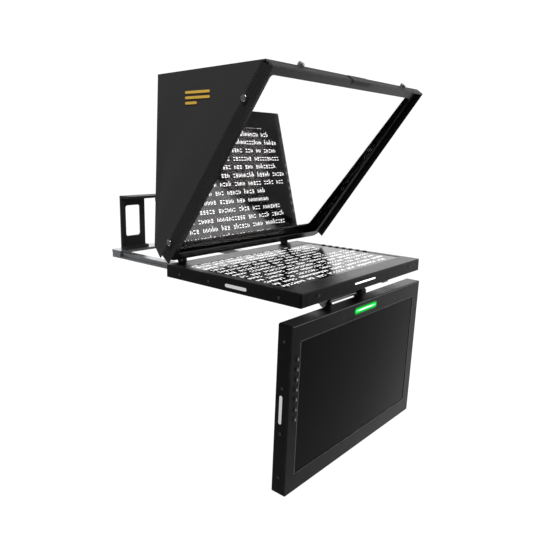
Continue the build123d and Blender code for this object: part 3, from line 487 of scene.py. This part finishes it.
def display_rows():
    """Rows of separate ticks and dashes, which spell nothing, as boxes (x0, y0, x1, y1) in mm."""
    rng = random.Random(11)
    boxes = []
    for k in range(ROWS):
        base = PROMPTER_MID_Y - PROMPTER_D / 2 + FIRST_ROW + ROW_PITCH * k
        x = ROW_LEFT
        end = ROW_RIGHT - rng.choice(ROW_LOSSES)
        while x < end - 2 * CELL:
            for _ in range(rng.choice(GROUPS)):
                if x > end:
                    break
                w = CELL * CELL_FILL
                kind = rng.random()
                high = TALL * (1.4 if rng.random() < 0.25 else 1.0)
                if kind < 0.45:
                    boxes.append((x, base - high, x + STROKE, base))
                    boxes.append((x + w - STROKE, base - TALL * 0.8, x + w, base - TALL * 0.1))
                else:
                    for part in (0.12, 0.88) if kind < 0.75 else (0.1, 0.5, 0.9):
                        y = base - TALL * part
                        boxes.append((x, y - STROKE / 2, x + w, y + STROKE / 2))
                x += CELL
            x += CELL * 1.1
    return boxes


verts, faces = [], []
for x0, y0, x1, y1 in display_rows():
    faces.append(list(range(len(verts), len(verts) + 4)))
    verts += [Vector((x, y, PROMPTER_TOP - 0.5)) * MM for x, y in ((x0, y0), (x1, y0), (x1, y1), (x0, y1))]
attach(mesh_object("display_dashes", verts, faces, DISPLAY, smooth=False), "base")


# ------------------------------------------------------------------ stitches, marks, and painted highlights on edges and button caps
def stitches(name, lines, outward, length=3.4, width=0.7, gap=5.2, proud=0.35):
    """A stitch every few mm along each line, standing a little proud of the cloth."""
    verts, faces = [], []
    for start, end in lines:
        along = (end - start).normalized()
        across = along.cross(outward).normalized()
        for k in range(int((end - start).length / (gap * MM))):
            foot = start + along * (k + 0.5) * gap * MM
            n = len(verts)
            for a in (-0.5, 0.5):
                for b, high in ((-0.5, 0.0), (-0.25, 1.0), (0.25, 1.0), (0.5, 0.0)):
                    verts.append(foot + along * a * length * MM * (1 - 0.15 * high) + across * b * width * MM
                                 + outward * proud * MM * high)
            faces += [[n, n + 1, n + 5, n + 4], [n + 1, n + 2, n + 6, n + 5], [n + 2, n + 3, n + 7, n + 6],
                      [n, n + 4, n + 7, n + 3], [n + 3, n + 2, n + 1, n], [n + 4, n + 5, n + 6, n + 7]]
    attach(mesh_object(name, verts, faces, THREAD), "glass_head")


STITCH_IN = 2.2                                   # from the tape's edge to the stitches
low = band_low + 3
for sign, side in ((-1, "left"), (1, "right")):
    x = sign * (FRAME_HALF_W + HOOD_T)
    lines = [(frame_point(x, low, level), frame_point(x, FRAME_TOP - lost, level))
             for level, lost in ((HOOD_SEAM + STITCH_IN, 7), (BAND_EDGE - STITCH_IN, 2))]
    lines.append((yz(x, HOOD_REAR_BOTTOM) + Vector((0, -6, 6)) * MM,
                  yz(x, HOOD_REAR_TOP) + Vector((0, -6, -6)) * MM))
    stitches(f"stitches_{side}", lines, Vector((sign, 0, 0)))
edge = FRAME_TOP + HOOD_T
lines = [(frame_point(-out + 4, edge, level), frame_point(out - 4, edge, level))
         for level in (TOP_SEAM + STITCH_IN, BAND_EDGE - STITCH_IN)]
stitches("stitches_top", lines, -slope)


def bar_mark(name, middle, across, upward, width, height, material, body, lift):
    """A flat rounded bar laid on a surface, with its middle and sizes in mm."""
    verts = []
    r = height / 2
    for end in (1, -1):
        for k in range(9):
            a = math.pi * (k / 8 - 0.5)
            verts.append((middle + across * end * (width / 2 - r + r * math.cos(a))
                          + upward * end * r * math.sin(a) + lift * 0.25) * MM)
    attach(mesh_object(name, verts, [list(range(18))], material, smooth=False), body)


def painted_highlight_line(name, start, end, width):
    """A thin painted highlight line on the talent monitor's front, standing in for light caught by an edge,
    from X and distance down to the same.
    """
    a, b = talent_point(*start, 0.3), talent_point(*end, 0.3)
    side = (b - a).cross(TALENT_OUT).normalized() * width / 2
    verts = [(p + q * side) * MM for p, q in ((a, -1), (a, 1), (b, 1), (b, -1))]
    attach(mesh_object(name, verts, [[0, 1, 2, 3]], EDGE_HIGHLIGHT_PAINT, smooth=False), "talent_monitor")


HOOD_MARK_Y, HOOD_MARK_Z, HOOD_MARK_W, HOOD_MARK_H = -172.0, 381.0, 62.0, 4.5
SIDE_MARK_W, SIDE_MARK_H = 54.0, 6.5
hood_side = -(FRAME_HALF_W + HOOD_T) - 1.3        # clear of the cloth's waves
for k, (wide, drop) in enumerate(((HOOD_MARK_W, 0), (HOOD_MARK_W, 9), (30, 18))):
    middle = Vector((hood_side, HOOD_MARK_Y + (HOOD_MARK_W - wide) / 2, HOOD_MARK_Z - drop))
    bar_mark(f"hood_mark_{k}", middle, -REAR, UP, wide, HOOD_MARK_H, GOLD_PRINT_PAINTED_GLOW, "glass_head", LEFT)
bar_mark("prompter_side_mark", Vector((-PROMPTER_W / 2, -228, 38)), -REAR, UP, SIDE_MARK_W, SIDE_MARK_H,
         WHITE_PRINT_AND_PAINTED_GLINT, "base", LEFT)
bar_mark("talent_side_mark", talent_point(-TALENT_W / 2, 156, -17), TALENT_DOWN, -TALENT_OUT, SIDE_MARK_W,
         SIDE_MARK_H, WHITE_PRINT_AND_PAINTED_GLINT, "talent_monitor", LEFT)
# each button cap gets a small white painted highlight, standing in for the light its domed cap catches
for k in range(BUTTONS):
    y = PROMPTER_MID_Y - PROMPTER_D / 2 + PROMPTER_BUTTON_START + PROMPTER_BUTTON_PITCH * k
    bar_mark(f"prompter_button_painted_glint_{k + 1}", Vector((PROMPTER_BUTTON_X, y, PROMPTER_TOP + BUTTON_PROUD)), REAR,
             ACROSS, 3.6, 1.6, WHITE_PRINT_AND_PAINTED_GLINT, f"prompter_button_{k + 1}_body", UP)
    spot = talent_point(TALENT_BUTTON_X, TALENT_BUTTON_TOP + TALENT_BUTTON_PITCH * k, BUTTON_PROUD)
    bar_mark(f"talent_button_painted_glint_{k + 1}", spot, TALENT_DOWN, ACROSS, 3.2, 1.2,
             WHITE_PRINT_AND_PAINTED_GLINT, f"talent_button_{k + 1}_body", TALENT_OUT)

# painted highlights around the talent window and along the front's top edge, widest on the left where the
# light catches
EDGE_OUT = 1.2                                    # from the window's edge to the middle of its line
side, high = TALENT_WINDOW_W / 2 + EDGE_OUT, TALENT_WINDOW_MARGIN - EDGE_OUT
low = TALENT_WINDOW_MARGIN + TALENT_WINDOW_H + EDGE_OUT
painted_highlight_line("window_edge_painted_highlight_left", (-side, high), (-side, low), 0.7)
painted_highlight_line("window_edge_painted_highlight_top", (-side, high), (side, high), 0.5)
painted_highlight_line("window_edge_painted_highlight_bottom", (-side, low), (side, low), 0.6)
painted_highlight_line("window_edge_painted_highlight_right", (side, high), (side, low), 0.4)
painted_highlight_line("front_edge_painted_highlight_top", (3 - TALENT_W / 2, 1.9), (TALENT_W / 2 - 3, 1.9), 0.9)

corners = ((-0.47, -0.12), (0.47, -0.12), (0.47, 0.12), (-0.47, 0.12))       # tenths of a metre
verts = [talent_point(TALENT_LED_MID + u * 100, TALENT_LED_DOWN + v * 100, 0.35) * MM for u, v in corners]
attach(mesh_object("led_halo", verts, [[0, 1, 2, 3]], halo(), corners, smooth=False), "talent_monitor")

# ------------------------------------------------------------------ light and camera
BACKDROP = 1.05                                   # strength of the white that the camera sees
scene = bpy.context.scene
world = bpy.data.worlds.new("studio")
scene.world = world
world.use_nodes = True
wt = world.node_tree
plain = wt.nodes["Background"]
plain.inputs[0].default_value = (1, 1, 1, 1)
plain.inputs[1].default_value = BACKDROP
room = add(wt, "ShaderNodeBackground")
coord = add(wt, "ShaderNodeTexCoord")
split = add(wt, "ShaderNodeSeparateXYZ")
wt.links.new(coord.outputs["Generated"], split.inputs[0])


def soft_step(axis, low, high, to_low, to_high):
    """A smooth change of strength along one axis of the room."""
    n = add(wt, "ShaderNodeMapRange", interpolation_type="SMOOTHSTEP")
    span(n, From_Min=low, From_Max=high, To_Min=to_low, To_Max=to_high)
    wt.links.new(split.outputs[axis], n.inputs["Value"])
    return n.outputs["Result"]


# the room is darker in front of the talent's screen, to the far left and overhead, and bright elsewhere
strength = soft_step("Y", -0.39, -0.26, 0.1, 1.5)
for shade in (soft_step("X", -0.6, 0.1, 0.08, 1.0), soft_step("Z", 0.3, 0.6, 1.0, 0.12)):
    both = add(wt, "ShaderNodeMath", operation="MULTIPLY")
    wt.links.new(strength, both.inputs[0])
    wt.links.new(shade, both.inputs[1])
    strength = both.outputs[0]
wt.links.new(strength, room.inputs["Strength"])
path = add(wt, "ShaderNodeLightPath")
pick = add(wt, "ShaderNodeMixShader")
wt.links.new(path.outputs["Is Camera Ray"], pick.inputs[0])
wt.links.new(room.outputs[0], pick.inputs[1])
wt.links.new(plain.outputs[0], pick.inputs[2])
wt.links.new(pick.outputs[0], wt.nodes["World Output"].inputs["Surface"])
scene.view_settings.view_transform = "Standard"


# the pale studio floor, a tripod's height below, which lights nothing by itself
FLOOR_Z, FLOOR_HALF = -1.45, 12.0
pale = tree("pale_floor")[0]
paint = light_up(pale, (1, 1, 1), BACKDROP)
paint.inputs["Base Color"].default_value = (0, 0, 0, 1)
paint.inputs["Specular IOR Level"].default_value = 0.0
corners = [Vector((x * FLOOR_HALF, y * FLOOR_HALF, FLOOR_Z)) for x, y in ((-1, -1), (1, -1), (1, 1), (-1, 1))]
floor = mesh_object("floor", corners, [[0, 1, 2, 3]], pale, smooth=False)
for ray in ("diffuse", "glossy", "transmission", "shadow", "volume_scatter"):
    setattr(floor, "visible_" + ray, False)


def area(name, where, towards, size, power):
    """A square studio lamp aimed at a place."""
    light = bpy.data.lights.new(name, "AREA")
    light.size = size
    light.energy = power
    obj = bpy.data.objects.new(name, light)
    obj.location = where
    obj.rotation_euler = (Vector(towards) - Vector(where)).to_track_quat("-Z", "Y").to_euler()
    scene.collection.objects.link(obj)


area("key", (-1.6, -1.0, 1.9), (0, -0.15, 0.2), 1.0, 18)
area("fill", (1.4, -1.8, 0.8), (0, -0.3, 0.0), 1.2, 8)

cam = bpy.data.cameras.new("camera")
cam.sensor_width = 36
cam.lens = 37.92
cam.clip_start = 0.01
camera = bpy.data.objects.new("camera", cam)
right = Vector((0.64751, -0.76184, 0.01829))
up = Vector((0.1445, 0.14632, 0.97863))
back = Vector((-0.74823, -0.63103, 0.20483))
where = Vector((-0.94618, -0.91354, 0.28710))
camera.matrix_world = Matrix(((right.x, up.x, back.x, where.x), (right.y, up.y, back.y, where.y),
                              (right.z, up.z, back.z, where.z), (0, 0, 0, 1)))
scene.collection.objects.link(camera)
scene.camera = camera
